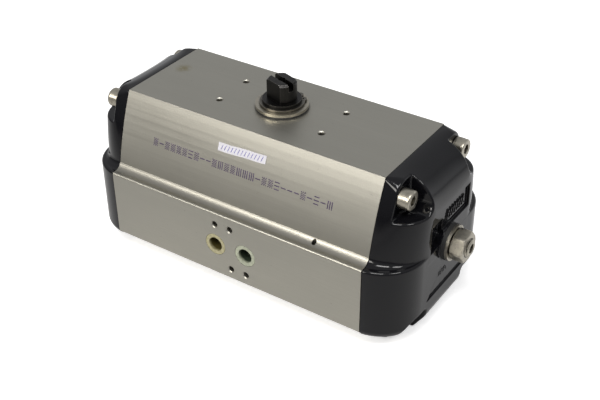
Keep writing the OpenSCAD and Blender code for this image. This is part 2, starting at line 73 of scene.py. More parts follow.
SHOULDER = np.array([53.7, 66.9])       # (y, z) at the foot of the sloping upper side
TOP_CORNER = np.array([37.4, TOP_Z])    # (y, z) at its top
SIDE_BULGE = 1.4                        # how far the upper side swells between the two
LEDGE_Z = 63.0
FOOT_Y = SIDE_Y - 15.9                  # half width of the underside
BEVEL_Z = 14.5

SLOPE = (TOP_CORNER - SHOULDER) / np.linalg.norm(TOP_CORNER - SHOULDER)
SLOPE_LENGTH = np.linalg.norm(TOP_CORNER - SHOULDER)
SLOPE_OUT = np.array([SLOPE[1], -SLOPE[0]])


# ------------------------------------------------------------------------------------------------
# Making meshes

def new_object(name, mesh, material, body):
    piece = bpy.data.objects.new(name, mesh)
    bpy.context.scene.collection.objects.link(piece)
    piece.data.materials.append(material)
    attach(piece, body)
    return piece


def make_mesh(name, points, faces):
    mesh = bpy.data.meshes.new(name)
    mesh.from_pydata((np.asarray(points) * MM).tolist(), [], [tuple(map(int, f)) for f in faces])
    mesh.polygons.foreach_set("use_smooth", np.ones(len(mesh.polygons), bool))
    mesh.update()
    return mesh


def smooth_by_angle(piece, degrees):
    """Marks the edges that are sharper than an angle, so that only they break the smooth shading."""
    mesh = piece.data
    mesh.polygons.foreach_set("use_smooth", np.ones(len(mesh.polygons), bool))
    mesh.set_sharp_from_angle(angle=math.radians(degrees))


def soften_edges(piece, width):
    bevel = piece.modifiers.new("edge", "BEVEL")
    bevel.width = width * MM
    bevel.segments = 2
    bevel.limit_method = "ANGLE"
    bevel.angle_limit = math.radians(32)
    bevel.harden_normals = True
    bevel.use_clamp_overlap = True


def skin(rings, loop=False):
    """Points and quads that join equal rings in order. Open ends are closed with a fan."""
    rings = np.asarray(rings, float)
    rows, columns = rings.shape[:2]
    points = rings.reshape(-1, 3)
    column = np.arange(columns)
    after = (column + 1) % columns
    faces = []
    for row in range(rows if loop else rows - 1):
        here, there = row * columns, (row + 1) % rows * columns
        faces += np.stack([here + column, here + after, there + after, there + column], 1).tolist()
    if not loop:
        first, last = len(points), len(points) + 1
        points = np.vstack([points, rings[0].mean(0), rings[-1].mean(0)])
        end = (rows - 1) * columns
        faces += [[first, b, a] for a, b in zip(column, after)]
        faces += [[last, end + a, end + b] for a, b in zip(column, after)]
    return points, faces


def ring_at(x, radius, angles):
    """A ring about the X axis. The radius is one number, or one for each angle."""
    return np.stack([np.full_like(angles, x), radius * np.cos(angles), radius * np.sin(angles)], 1)


def turn_z(points, degrees):
    c, s = math.cos(math.radians(degrees)), math.sin(math.radians(degrees))
    return np.asarray(points) @ np.array([[c, s, 0], [-s, c, 0], [0, 0, 1]])


def hexagon_radius(flats, angles, turned=0.0):
    """Distance from the centre to a hexagon's outline at each angle."""
    from_flat = np.mod(angles - turned + math.pi / 6, math.pi / 3) - math.pi / 6
    return flats / 2 / np.cos(from_flat)


# ------------------------------------------------------------------------------------------------
# Materials

class Graph:
    """A material's node tree, built one node at a time."""

    def __init__(self, name):
        self.material = bpy.data.materials.new(name)
        self.material.use_nodes = True
        self.tree = self.material.node_tree
        self.tree.nodes.clear()
        self.place = self.add("ShaderNodeTexCoord").outputs["Object"]

    def add(self, kind, inputs=None, **settings):
        node = self.tree.nodes.new(kind)
        for key, value in settings.items():
            setattr(node, key, value)
        for key, value in (inputs or {}).items():
            if isinstance(value, bpy.types.NodeSocket):
                self.tree.links.new(value, node.inputs[key])
            else:
                node.inputs[key].default_value = value
        return node

    def scaled(self, x, y, z):
        """The place on the object in millimetres, times a factor along each axis."""
        inputs = {"Vector": self.place, "Scale": (x / MM, y / MM, z / MM)}
        return self.add("ShaderNodeMapping", inputs).outputs[0]

    def noise(self, x, y, z, detail=3.0, roughness=0.55):
        """Noise with x, y and z cells per millimetre along each axis."""
        inputs = {"Vector": self.scaled(x, y, z), "Scale": 1.0, "Detail": detail, "Roughness": roughness}
        return self.add("ShaderNodeTexNoise", inputs).outputs["Fac"]

    def ramp(self, value, low, high, start=0.0, end=1.0):
        """A value mapped from the range low to high onto the range start to end, and held there."""
        inputs = {"Value": value, "From Min": low, "From Max": high, "To Min": start, "To Max": end}
        return self.add("ShaderNodeMapRange", inputs).outputs[0]

    def maths(self, operation, a, b=0.0):
        return self.add("ShaderNodeMath", {0: a, 1: b}, operation=operation).outputs[0]

    def colour_mix(self, share, a, b):
        node = self.tree.nodes.new("ShaderNodeMix")
        node.data_type = "RGBA"
        for key, value in ((0, share), (6, a), (7, b)):
            if isinstance(value, bpy.types.NodeSocket):
                self.tree.links.new(value, node.inputs[key])
            else:
                node.inputs[key].default_value = value
        return node.outputs[2]

    def bump(self, height, strength, distance, normal=None):
        inputs = {"Height": height, "Strength": strength, "Distance": distance * MM}
        if normal is not None:
            inputs["Normal"] = normal
        return self.add("ShaderNodeBump", inputs).outputs[0]

    def edges(self, radius):
        """1 close to a sharp edge and 0 elsewhere."""
        bevelled = self.add("ShaderNodeBevel", {"Radius": radius * MM}, samples=6).outputs[0]
        flat = self.add("ShaderNodeNewGeometry").outputs["Normal"]
        facing = self.add("ShaderNodeVectorMath", {0: bevelled, 1: flat}, operation="DOT_PRODUCT")
        return self.ramp(facing.outputs["Value"], 0.995, 0.9)

    def recess_shade(self, reach):
        """1 deep in a recess and 0 on open surfaces, for painting shade into recesses."""
        light = self.add("ShaderNodeAmbientOcclusion", {"Distance": reach * MM}, samples=8)
        return self.ramp(light.outputs["AO"], 0.75, 0.3)

    def finish(self, **inputs):
        """Ends the tree in a Principled shader. An argument's name has _ for each space."""
        surface = self.add("ShaderNodeBsdfPrincipled", {k.replace("_", " "): v for k, v in inputs.items()})
        output = self.add("ShaderNodeOutputMaterial")
        self.tree.links.new(surface.outputs[0], output.inputs["Surface"])
        return self.material


def rgb(r, g, b):
    return (r, g, b, 1.0)


def anodised_extrusion():
    """Hard anodised aluminium: die lines along X, faint clouds, a stain on top, painted shade at the ledge
    and in holes.
    """
    g = Graph("anodised_extrusion")
    lines = g.noise(0.004, 2.6, 2.6, 4.0, 0.7)
    fine = g.noise(0.02, 9.0, 9.0, 2.0)
    clouds = g.noise(0.012, 0.03, 0.03, 4.0)
    grain = g.noise(3.0, 6.0, 6.0, 2.0)
    base = g.colour_mix(g.ramp(lines, 0.3, 0.7), rgb(0.385, 0.372, 0.325), rgb(0.44, 0.427, 0.377))
    base = g.colour_mix(g.ramp(clouds, 0.35, 0.7, 0.0, 0.35), base, rgb(0.36, 0.352, 0.315))
    rough = g.maths("ADD", g.ramp(lines, 0.3, 0.7, 0.36, 0.46), g.ramp(clouds, 0.3, 0.7, -0.03, 0.04))
    # A yellowish stain near the left end of the top face
    middle = (-88 * MM, 7 * MM, TOP_Z * MM)
    away = g.add("ShaderNodeVectorMath", {0: g.place, 1: middle}, operation="DISTANCE").outputs["Value"]
    patchy = g.maths("MULTIPLY", g.ramp(away, 7 * MM, 1 * MM), g.ramp(g.noise(0.25, 0.4, 0.4), 0.3, 0.5))
    base = g.colour_mix(g.maths("MULTIPLY", patchy, 0.7), base, rgb(0.25, 0.21, 0.09))
    # A darker band along the foot of the sloping side, painted shade that dims the highlight in the hollow,
    # and small dark specks
    height = g.add("ShaderNodeSeparateXYZ", {"Vector": g.place}).outputs["Z"]
    ledge_shade = g.maths("MULTIPLY", g.ramp(height, 61 * MM, 63.5 * MM), g.ramp(height, 86 * MM, 68 * MM))
    base = g.colour_mix(g.maths("MULTIPLY", ledge_shade, 0.55), base, rgb(0.25, 0.24, 0.21))
    specks = g.ramp(g.noise(0.55, 0.55, 0.55, 1.0), 0.76, 0.80)
    base = g.colour_mix(g.maths("MULTIPLY", specks, 0.35), base, rgb(0.16, 0.15, 0.12))
    # Painted shade: near black deep in holes and recesses
    base = g.colour_mix(g.maths("MULTIPLY", g.recess_shade(3.0), 0.8), base, rgb(0.03, 0.028, 0.025))
    relief = g.maths("ADD", g.maths("MULTIPLY", lines, 0.6), g.maths("MULTIPLY", fine, 0.3))
    normal = g.bump(grain, 0.10, 0.02, g.bump(relief, 0.16, 0.05))
    return g.finish(Base_Color=base, Metallic=1.0, Roughness=rough, Normal=normal)


def gloss_epoxy():
    """Thick black epoxy paint on a casting: glossy, with orange peel and a little dust."""
    g = Graph("gloss_epoxy")
    peel = g.noise(0.32, 0.32, 0.32, 2.0)
    dust = g.noise(1.6, 1.6, 1.6, 4.0, 0.7)
    haze = g.noise(0.05, 0.05, 0.05, 3.0)
    base = g.colour_mix(g.ramp(dust, 0.62, 0.8, 0.0, 0.2), rgb(0.004, 0.004, 0.005), rgb(0.03, 0.03, 0.03))
    rough = g.maths("ADD", g.ramp(haze, 0.3, 0.7, 0.05, 0.09), g.ramp(dust, 0.5, 0.8, 0.0, 0.06))
    normal = g.bump(peel, 0.10, 0.12)
    return g.finish(Base_Color=base, Roughness=rough, Normal=normal, Specular_IOR_Level=0.32)


def steel(name, base, rough, turning="x", wear=0.0, dark=(0.1, 0.09, 0.075)):
    """Metal with marks that run round one axis, dull in patches, worn at edges, with painted shade in
    recesses.
    """
    g = Graph(name)
    along = {"x": (1.2, 0.2, 0.2), "z": (0.2, 0.2, 1.2)}[turning]
    marks = g.noise(*along, 2.0, 0.5)
    patches = g.noise(0.3, 0.3, 0.3, 2.0, 0.5)
    colour = g.colour_mix(g.ramp(patches, 0.5, 0.8, 0.0, 0.5), rgb(*base), rgb(*dark))
    colour = g.colour_mix(g.maths("MULTIPLY", g.edges(0.35), wear), colour, rgb(0.6, 0.58, 0.54))
    # Painted shade: near black deep in sockets and recesses
    colour = g.colour_mix(g.maths("MULTIPLY", g.recess_shade(4.0), 0.9), colour, rgb(0.012, 0.011, 0.009))
    roughness = g.maths("ADD", g.ramp(marks, 0.3, 0.7, rough - 0.03, rough + 0.05),
                        g.ramp(patches, 0.5, 0.8, 0.0, 0.1))
    return g.finish(Base_Color=colour, Metallic=1.0, Roughness=roughness, Normal=g.bump(marks, 0.05, 0.02))


def plastic(name, base, deep):
    """Moulded plastic, faintly mottled, darker where its noise is low."""
    g = Graph(name)
    mottle = g.noise(0.5, 0.5, 0.5, 4.0)
    colour = g.colour_mix(g.ramp(mottle, 0.35, 0.65), rgb(*deep), rgb(*base))
    normal = g.bump(g.noise(2.5, 2.5, 2.5, 2.0), 0.15, 0.05)
    return g.finish(Base_Color=colour, Roughness=0.45, Normal=normal)


def thread_protector(name, rim, inside):
    """Thin plastic set into a port: its rim is pale, and painted shade darkens its inside with depth."""
    g = Graph(name)
    mottle = g.noise(0.5, 0.5, 0.5, 4.0)
    across = g.add("ShaderNodeSeparateXYZ", {"Vector": g.place}).outputs["Y"]
    # Painted shade: towards the inside colour deeper in the port
    depth = g.ramp(across, (0.3 - SIDE_Y) * MM, (2.5 - SIDE_Y) * MM)
    colour = g.colour_mix(g.ramp(mottle, 0.35, 0.65, 0.0, 0.35), rgb(*rim), rgb(*inside))
    colour = g.colour_mix(depth, colour, rgb(*inside))
    return g.finish(Base_Color=colour, Roughness=0.4, Normal=g.bump(mottle, 0.1, 0.05))


def rubber():
    """Matt black rubber with a fine grain."""
    g = Graph("nitrile_rubber")
    grain = g.noise(3.0, 3.0, 3.0, 3.0)
    colour = g.colour_mix(g.ramp(grain, 0.3, 0.7), rgb(0.008, 0.008, 0.008), rgb(0.025, 0.025, 0.024))
    return g.finish(Base_Color=colour, Roughness=0.62, Normal=g.bump(grain, 0.3, 0.05))


def paper():
    """Uncoated white paper with long fibres."""
    g = Graph("label_paper")
    fibres = g.noise(2.0, 5.0, 5.0, 4.0)
    colour = g.colour_mix(g.ramp(fibres, 0.35, 0.65), rgb(0.5, 0.49, 0.53), rgb(0.64, 0.63, 0.67))
    return g.finish(Base_Color=colour, Roughness=0.75, Normal=g.bump(fibres, 0.2, 0.03))


def ink(name, colour, faded):
    """Ink that has worn thin in places."""
    g = Graph(name)
    strength = g.ramp(g.noise(0.8, 0.8, 0.8, 3.0), 0.35, 0.65)
    return g.finish(Base_Color=g.colour_mix(strength, rgb(*faded), rgb(*colour)), Roughness=0.5)


def pale_floor():
    """A white sweep, which the camera sees a little over-lit. In reflections it is grey in front of
    the object, dark further off, and white behind."""
    g = Graph("pale_floor")
    place = g.add("ShaderNodeSeparateXYZ", {"Vector": g.place})
    back = g.ramp(place.outputs["Y"], -0.35, 0.25)
    near = g.ramp(place.outputs["Y"], -1.0, -0.5)
    mottle = g.ramp(g.noise(0.004, 0.004, 0.004, 2.0), 0.3, 0.7, 0.0, 0.03)
    seen = g.add("ShaderNodeLightPath").outputs["Is Camera Ray"]
    front = g.colour_mix(near, rgb(0.06, 0.06, 0.06), rgb(0.28, 0.28, 0.28))
    tone = g.colour_mix(back, front, rgb(0.95, 0.95, 0.95))
    tone = g.colour_mix(mottle, g.colour_mix(seen, tone, rgb(0.95, 0.95, 0.95)), rgb(0.8, 0.8, 0.8))
    return g.finish(Base_Color=tone, Roughness=0.8, Emission_Color=rgb(1, 1, 1),
                    Emission_Strength=g.maths("MULTIPLY", seen, 0.45))


STAINLESS = (0.45, 0.42, 0.35)
LOOKS = {
    "anodised_aluminium": anodised_extrusion(),
    "black_epoxy": gloss_epoxy(),
    "nitrile": rubber(),
    "stainless_steel": steel("stainless_steel", STAINLESS, 0.3, wear=0.2),
    "piston_aluminium": steel("piston_aluminium", (0.66, 0.67, 0.68), 0.35, dark=(0.4, 0.4, 0.4)),
    "acetal": plastic("natural_acetal", (0.85, 0.83, 0.76), (0.78, 0.75, 0.66)),
    "black_steel": steel("black_steel", (0.035, 0.034, 0.033), 0.36, "z", wear=0.25, dark=(0.02, 0.02, 0.02)),
    "zinc_plated_steel": steel("zinc_plated_steel", (0.55, 0.56, 0.58), 0.3, "z"),
    "black_acetal": plastic("black_acetal", (0.03, 0.03, 0.03), (0.015, 0.015, 0.015)),
    "spring_steel": steel("spring_steel", (0.16, 0.15, 0.13), 0.33, "z", wear=0.6, dark=(0.05, 0.045, 0.04)),
    # Each protector's second colour is the painted shade deep in its port
    "yellow_plastic": thread_protector("yellow_plastic", (0.4, 0.37, 0.22), (0.06, 0.048, 0.012)),
    "green_plastic": thread_protector("green_plastic", (0.39, 0.41, 0.31), (0.025, 0.035, 0.022)),
    "plug_steel": steel("plug_steel", (0.3, 0.29, 0.25), 0.4, "z"),
}


# ------------------------------------------------------------------------------------------------
# End caps, as a distance field: negative inside, in millimetres

TOP_ROUND = 27.0          # roll-over from the top to the outer face
FLAT_Y = 24.5             # half width of the flat part of the outer face, above the ledge
FOOT_ROUND = 30.5         # corners of the lower block in plan
FOOT_Z = BEVEL_Z - 1.1    # height of the bevelled foot
FOOT_END_RUN = 9.0        # how far the bevel runs in at the end
LIP = 1.9                 # small round on the ledge's edge
COVE = 4.6                # hollow between the ledge and the upper side
BOSS_R = 13.0
SCREW_Y, SCREW_Z = 34.8, 46.4
POCKET_Y, POCKET_Z = 23.8, 34.4     # walls of the upper clearance pockets, from the axis
POCKET_R = 8.0
LOW_POCKET_Y = (24.5, 49.0)         # walls and ceiling of the lower ones
LOW_POCKET_Z = 38.4
POCKET_FLOOR = JOINT_X + 10.0
CAST_EDGE = 0.8
POCKET_EDGE = 1.3
RECESS_DEPTH = 1.8        # of the upper panel
LOW_RECESS_DEPTH = 1.2
RELIEF_DEPTH = 5.0
PANEL_Y, PANEL_Z = (-24, 26), (70.5, 87.4)      # upper panel, across and up
LOW_PANEL_Z = 24.8                              # lower panel's straight edge
LOW_PANEL_REACH = 49.8                          # height at which its slanting sides meet
RELIEF_Y, RELIEF_Z = (-24, -8), (62, 79)
SCREW_HOLE_R = 4.5
STOP_HOLE_R = 6.05
HOLLOW_R = (14.0, 42.0)                         # space inside, between the stop's boss and the wall
HOLLOW_DEPTH = 13.0
CELL = 0.6                                      # grid that the cap is meshed on


def round_max(a, b, r):
    """Intersection of two fields, with a rounded edge."""
    return np.minimum(np.maximum(a, b), -r) + np.hypot(np.maximum(a + r, 0), np.maximum(b + r, 0))


def round_min(a, b, r):
    """Union of two fields, with a hollow fillet."""
    return np.maximum(np.minimum(a, b), r) - np.hypot(np.maximum(r - a, 0), np.maximum(r - b, 0))


def slope_distance(y, z):
    """Signed distance to the bulged upper side."""
    out = (y - SHOULDER[0]) * SLOPE_OUT[0] + (z - SHOULDER[1]) * SLOPE_OUT[1]
    along = ((y - SHOULDER[0]) * SLOPE[0] + (z - SHOULDER[1]) * SLOPE[1]) / SLOPE_LENGTH
    return out - 4 * SIDE_BULGE * along * (1 - along)


def area(y, z, y_range, z_range):
    """Distance to a rectangle on the face."""
    return np.maximum(np.maximum(y_range[0] - y, y - y_range[1]), np.maximum(z_range[0] - z, z - z_range[1]))


def cap_blocks(x, y, z):
    """The outside of the casting: a wide lower block with a bevelled foot and a sloping upper block."""
    to_face = x - FACE_X
    plan = round_max(y - SIDE_Y, to_face, FOOT_ROUND)
    end_part = np.maximum(to_face + FOOT_ROUND, 0) ** 2
    side_part = np.maximum(y - SIDE_Y + FOOT_ROUND, 0) ** 2
    share = (end_part / (end_part + side_part + 1e-6)) ** 2
    run = (SIDE_Y - FOOT_Y) * (1 - share) + FOOT_END_RUN * share
    bevel = (plan * FOOT_Z + (FOOT_Z - z) * run) / np.hypot(FOOT_Z, run)
    lower = round_max(round_max(plan, z - LEDGE_Z, LIP), bevel, 2.0)
    lower = round_max(lower, -z, CAST_EDGE)
    crease = 1.4 + 0.55 * np.clip(x - JOINT_X, 0, 30)
    side = slope_distance(y, z)
    section = round_max(side, z - TOP_Z, crease)
    side_round = np.clip(SHOULDER[0] - FLAT_Y - 0.315 * (z - SHOULDER[1]), 14, 30)
    nearer_top = 0.5 + 0.5 * np.tanh((z - TOP_Z - side) / 12)
    upper = round_max(section, to_face, side_round * (1 - nearer_top) + TOP_ROUND * nearer_top)
    upper = np.maximum(upper, LEDGE_Z - 8 - z)
    # The hollow needs a ledge to stand on, so it dies out with the ledge towards the outer face
    ledge = upper - plan - LIP
    return round_min(lower, upper, COVE * np.clip(ledge / COVE, 0.02, 1))


def face_recesses(x, y, z, from_axis):
    """Shallow panels above and below the travel stop, and a deeper relief beside it, round its boss."""
    depth = FACE_X - x
    across = np.abs(y)
    above = area(y, z, PANEL_Y, PANEL_Z)
    below = np.maximum((across + z - LOW_PANEL_REACH) * math.sqrt(0.5), LOW_PANEL_Z - z)
    panels = np.minimum(np.maximum(above, depth - RECESS_DEPTH), np.maximum(below, depth - LOW_RECESS_DEPTH))
    relief = np.maximum(area(y, z, RELIEF_Y, RELIEF_Z), depth - RELIEF_DEPTH)
    return np.maximum(np.minimum(panels, relief), BOSS_R - from_axis)


def cast_marks(x, y, z):
    """Short slanting ribs on the panels' floors, in place of cast lettering."""
    pitch, half_width, slant = 3.4, 0.75, 0.3
    rib = np.abs(np.mod(y - slant * z, pitch) - pitch / 2) - half_width
    rows = np.minimum(area(y, z, (-3, 21), (75, 82)), area(y, z, (-8, 2), (34, 38)))
    return np.maximum(np.maximum(rib, rows), np.abs(FACE_X - RECESS_DEPTH - x) - 1.1)


def screw_pockets(x, across, z):
    """Room for the screws' heads: open to the side and top above, and to the underside below."""
    up = z - AXIS_Z
    upper = round_max(POCKET_Y - across, POCKET_Z - up, POCKET_R)
    inner = round_max(LOW_POCKET_Y[0] - across, LOW_POCKET_Z + up, 3.0)
    outer = round_max(across - LOW_POCKET_Y[1], LOW_POCKET_Z + up, 14.0)
    return round_max(np.minimum(upper, np.maximum(inner, outer)), POCKET_FLOOR - x, 1.5)


def cap_distance(x, y, z):
    across = np.abs(y)
    up = np.abs(z - AXIS_Z)
    from_axis = np.hypot(y, up)
    solid = round_max(cap_blocks(x, across, z), JOINT_X - x, 0.5)
    solid = round_max(solid, -face_recesses(x, y, z, from_axis), 0.45)
    solid = np.minimum(solid, cast_marks(x, y, z))
    solid = np.minimum(solid, np.maximum(from_axis - BOSS_R, np.abs(FACE_X - 3 - x) - 3.4))
    solid = round_max(solid, -screw_pockets(x, across, z), POCKET_EDGE)
    solid = np.maximum(solid, SCREW_HOLE_R - np.hypot(across - SCREW_Y, up - SCREW_Z))
    # Hollow inside, open to the bore, and the travel stop's hole
    ring = np.maximum(from_axis - HOLLOW_R[1], HOLLOW_R[0] - from_axis)
    hollow = np.maximum(ring, x - JOINT_X - HOLLOW_DEPTH)
    solid = np.maximum(solid, -hollow)
    return np.maximum(solid, STOP_HOLE_R - from_axis)


def gradient(field, points):
    """Unit normals of a field at the points."""
    step = 0.05
    slopes = []
    for axis in range(3):
        shift = np.zeros(3)
        shift[axis] = step
        slopes.append(field(*(points + shift).T) - field(*(points - shift).T))
    normals = np.stack(slopes, 1)
    return normals / np.maximum(np.linalg.norm(normals, axis=1, keepdims=True), 1e-9)


def mesh_of_field(field, low, high, cell):
    """Points, quads and normals of a field's zero surface."""
    low = np.asarray(low) - 2 * cell
    counts = np.ceil((np.asarray(high) + 2 * cell - low) / cell).astype(int) + 1
    axes = [low[i] + cell * np.arange(counts[i]) for i in range(3)]
    values = field(*np.meshgrid(*axes, indexing="ij")).astype(np.float32)
    grid = openvdb.FloatGrid(background=3 * cell)
    grid.copyFromArray(np.clip(values, -3 * cell, 3 * cell))
    points, _, quads = grid.convertToPolygons(isovalue=0.0, adaptivity=0.0)
    points = low + points.astype(float) * cell
    for _ in range(2):
        points -= np.clip(field(*points.T), -cell / 2, cell / 2)[:, None] * gradient(field, points)
    return points, quads, gradient(field, points)


def end_cap(side, points, quads, normals):
    turn = 0 if side == "right" else 180
    mesh = make_mesh(f"cast_end_cap_{side}", turn_z(points, turn), quads)
    mesh.normals_split_custom_set_from_vertices(turn_z(normals, turn).tolist())
    piece = new_object(f"cast_end_cap_{side}", mesh, LOOKS["black_epoxy"], "housing")
    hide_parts(f"end_cap_{side}")


cap_low = [JOINT_X, -SIDE_Y, 0]
cap_high = [FACE_X + 0.4, SIDE_Y, TOP_Z]
cap_mesh = mesh_of_field(cap_distance, cap_low, cap_high, CELL * (1.0))
for side in ("left", "right"):
    end_cap(side, *cap_mesh)


# ------------------------------------------------------------------------------------------------
# Fasteners

AROUND = 96


def on_bore_axis(points, side):
    """Points drawn along +X from the pinion's axis, moved to the bore's axis on one side."""
    points = np.array(points, float)
    points[:, 2] += AXIS_Z
    return points if side == "right" else turn_z(points, 180)


def socket_rings(x, edge_r, flats, depth, angles):
    """Rings that lead from a flat end's edge into a hexagon socket."""
    hexagon = hexagon_radius(flats, angles)
    return [
        ring_at(x, edge_r, angles),
        ring_at(x, hexagon + 0.35, angles),
        ring_at(x - 0.3, hexagon, angles),
        ring_at(x - depth, hexagon, angles),
        ring_at(x - depth - 0.8, 0.3, angles),
    ]


def stop_screw(side):
    """Fully threaded stud with a chamfered end, a hexagon socket and a groove for its O-ring."""
    low, high = box_mm(f"stop_screw_{side}")
    start, end = (low[0], high[0]) if side == "right" else (-high[0], -low[0])
    radius, pitch, depth, chamfer_length = (high[2] - low[2]) / 2, 1.75, 0.95, 1.1
    groove, groove_r = (4.2, 6.8), 3.75
    angles = np.linspace(0, 2 * math.pi, AROUND // 2, endpoint=False)
    rings = []
    for x in np.arange(start, end - 0.05, pitch / 9):
        phase = np.mod(angles / (2 * math.pi) - x / pitch, 1.0)
        cut = np.clip(np.abs(2 * phase - 1) * 1.25 - 0.125, 0, 1)
        chamfer = radius - chamfer_length + min(x - start, end - x, chamfer_length)
        rings.append(ring_at(x, np.minimum(radius - depth * cut, chamfer), angles))
        if groove[0] < x - start < groove[1]:
            rings[-1] = ring_at(x, groove_r, angles)
    rings += socket_rings(end, radius - 1.2, 6.0, 5.0, angles)
    points, faces = skin(rings)
    mesh = make_mesh(f"threaded_stop_{side}", on_bore_axis(points, side), faces)
    body = f"stop_screw_{side}"
    piece = new_object(f"threaded_stop_{side}", mesh, LOOKS["stainless_steel"], body)
    smooth_by_angle(piece, 35)
    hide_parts(f"stop_screw_{side}")


def lock_nut(side):
    """Hexagon nut with both faces chamfered and its thread countersunk."""
    low, high = box_mm(f"stop_nut_{side}")
    start, end = (low[0], high[0]) if side == "right" else (-high[0], -low[0])
    angles = np.linspace(0, 2 * math.pi, AROUND, endpoint=False)
    flats, turned = 19.0, math.radians(36)
    outline = hexagon_radius(flats, angles, turned)
    bore, sink, face_r = 6.06, 6.7, 9.1
    chamfer_height, chamfer_slope = 1.2, 1.73
    rings = [ring_at(start, sink, angles), ring_at(start, face_r, angles)]
    for step in np.linspace(0, chamfer_height, 5):
        rings.append(ring_at(start + step, np.minimum(outline, face_r + step * chamfer_slope), angles))
    for step in np.linspace(chamfer_height, 0, 5):
        rings.append(ring_at(end - step, np.minimum(outline, face_r + step * chamfer_slope), angles))
    rings += [ring_at(end, face_r - 0.3, angles), ring_at(end, sink, angles)]
    rings += [ring_at(end - 0.6, bore, angles), ring_at(start + 0.6, bore, angles)]
    points, faces = skin(rings, loop=True)
    mesh = make_mesh(f"lock_nut_{side}", on_bore_axis(points, side), faces)
    piece = new_object(f"lock_nut_{side}", mesh, LOOKS["stainless_steel"], "housing")
    smooth_by_angle(piece, 24)
    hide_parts(f"stop_nut_{side}")


def cap_screws(side):
    """Four socket head screws with knurled heads, as one piece."""
    angles = np.linspace(0, 2 * math.pi, AROUND, endpoint=False)
    head_r, head, shank_r, shank = 6.5, 8.0, 3.95, 32.0
    rolls = {-SCREW_Y: 23, SCREW_Y: 7}      # how far each side's sockets are turned
    knurl = head_r - 0.14 * (0.5 + 0.5 * np.cos(angles * 48))
    outline = [(-shank, shank_r - 0.8), (-shank + 0.8, shank_r), (-0.01, shank_r), (0, head_r - 0.5),
               (0.4, head_r - 0.12), (0.8, knurl), (5.6, knurl), (5.9, head_r - 0.02)]
    rings = [ring_at(x, radius, angles) for x, radius in outline]
    for a in np.linspace(0, math.pi / 2, 5):
        rings.append(ring_at(head - 1.0 + 1.0 * math.sin(a), head_r - 1.0 + 1.0 * math.cos(a), angles))
    rings += socket_rings(head, head_r - 1.1, 6.0, 4.0, angles)
    one, quads = skin(rings)
    points, faces = [], []
    for y in (-SCREW_Y, SCREW_Y):
        for z in (-SCREW_Z, SCREW_Z):
            roll = math.radians(rolls[y])
            c, s = math.cos(roll), math.sin(roll)
            screw = one @ np.array([[1, 0, 0], [0, c, s], [0, -s, c]]) + [POCKET_FLOOR, y, z]
            faces += [[i + len(points) * len(one) for i in face] for face in quads]
            points.append(screw)
    mesh = make_mesh(f"socket_screws_{side}", on_bore_axis(np.vstack(points), side), faces)
    piece = new_object(f"socket_screws_{side}", mesh, LOOKS["stainless_steel"], "housing")
    smooth_by_angle(piece, 35)
    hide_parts(f"cap_screws_{side}")


for side in ("left", "right"):
    stop_screw(side)
    lock_nut(side)
    cap_screws(side)


# ------------------------------------------------------------------------------------------------
# Label and ink on the front upper side

LABEL_CENTRE = (-1.5, 36.6)
LABEL_SIZE = (37.0, 5.6)
LABEL_TILT = 0.048

def on_upper_side(x, up, lift):
    """A point on the front upper side: up runs along the slope from its foot, lift stands off it."""
    t = np.asarray(up, float) / SLOPE_LENGTH
    bulge = 4 * SIDE_BULGE * t * (1 - t) + lift
    y = SHOULDER[0] + SLOPE[0] * up + SLOPE_OUT[0] * bulge
    z = SHOULDER[1] + SLOPE[1] * up + SLOPE_OUT[1] * bulge
    return np.stack(np.broadcast_arrays(x, -y, z), -1)


def paper_label():
    """A thin closed sheet on the upper side, a little turned, with slightly wavering edges."""
    columns, rows = 39, 9
    thickness, waver = 0.09, 0.12
    across = np.linspace(-0.5, 0.5, columns)[None, :] * np.ones((rows, 1))
    along = np.linspace(-0.5, 0.5, rows)[:, None] * np.ones((1, columns))
    x = LABEL_CENTRE[0] + across * LABEL_SIZE[0]
    up = LABEL_CENTRE[1] + along * LABEL_SIZE[1] + LABEL_TILT * (x - LABEL_CENTRE[0])
    x += waver * np.sin(along * 9)
    up += waver * np.sin(across * 11 + 1)
    lift = 0.03 + waver * 0.6 * np.abs(2 * across) ** 6
    top = on_upper_side(x, up, lift + thickness).reshape(-1, 3)
    under = on_upper_side(x, up, lift).reshape(-1, 3)
    count = rows * columns
    faces = []
    for r in range(rows - 1):
        for c in range(columns - 1):
            i = r * columns + c
            faces.append([i, i + 1, i + columns + 1, i + columns])
            faces.append([count + i, count + i + columns, count + i + columns + 1, count + i + 1])
    rim = list(range(columns)) + [r * columns + columns - 1 for r in range(1, rows)]
    rim += [(rows - 1) * columns + c for c in range(columns - 2, -1, -1)]
    rim += [r * columns for r in range(rows - 2, 0, -1)]
    faces += [[a, count + a, count + b, b] for a, b in zip(rim, rim[1:] + rim[:1])]
    mesh = make_mesh("paper_label", np.vstack([top, under]), faces)
    piece = new_object("paper_label", mesh, paper(), "housing")
    smooth_by_angle(piece, 40)


def dots(name, places, radius, height, material):
    """Low domes of ink at places (x, up) on the upper side."""
    sides = 8
    angles = np.arange(sides) * 2 * math.pi / sides
    points, faces = [], []
    for x, up in places:
        first = len(points)
        for ring_r, lift in ((radius, 0.0), (0.6 * radius, height)):
            ring = on_upper_side(x + ring_r * np.cos(angles), up + ring_r * np.sin(angles), lift)
            points += ring.tolist()
        for i in range(sides):
            j = (i + 1) % sides
            faces.append([first + i, first + j, first + sides + j, first + sides + i])
        faces.append([first + sides + i for i in range(sides)])
        faces.append([first + i for i in reversed(range(sides))])
    new_object(name, make_mesh(name, points, faces), material, "housing")


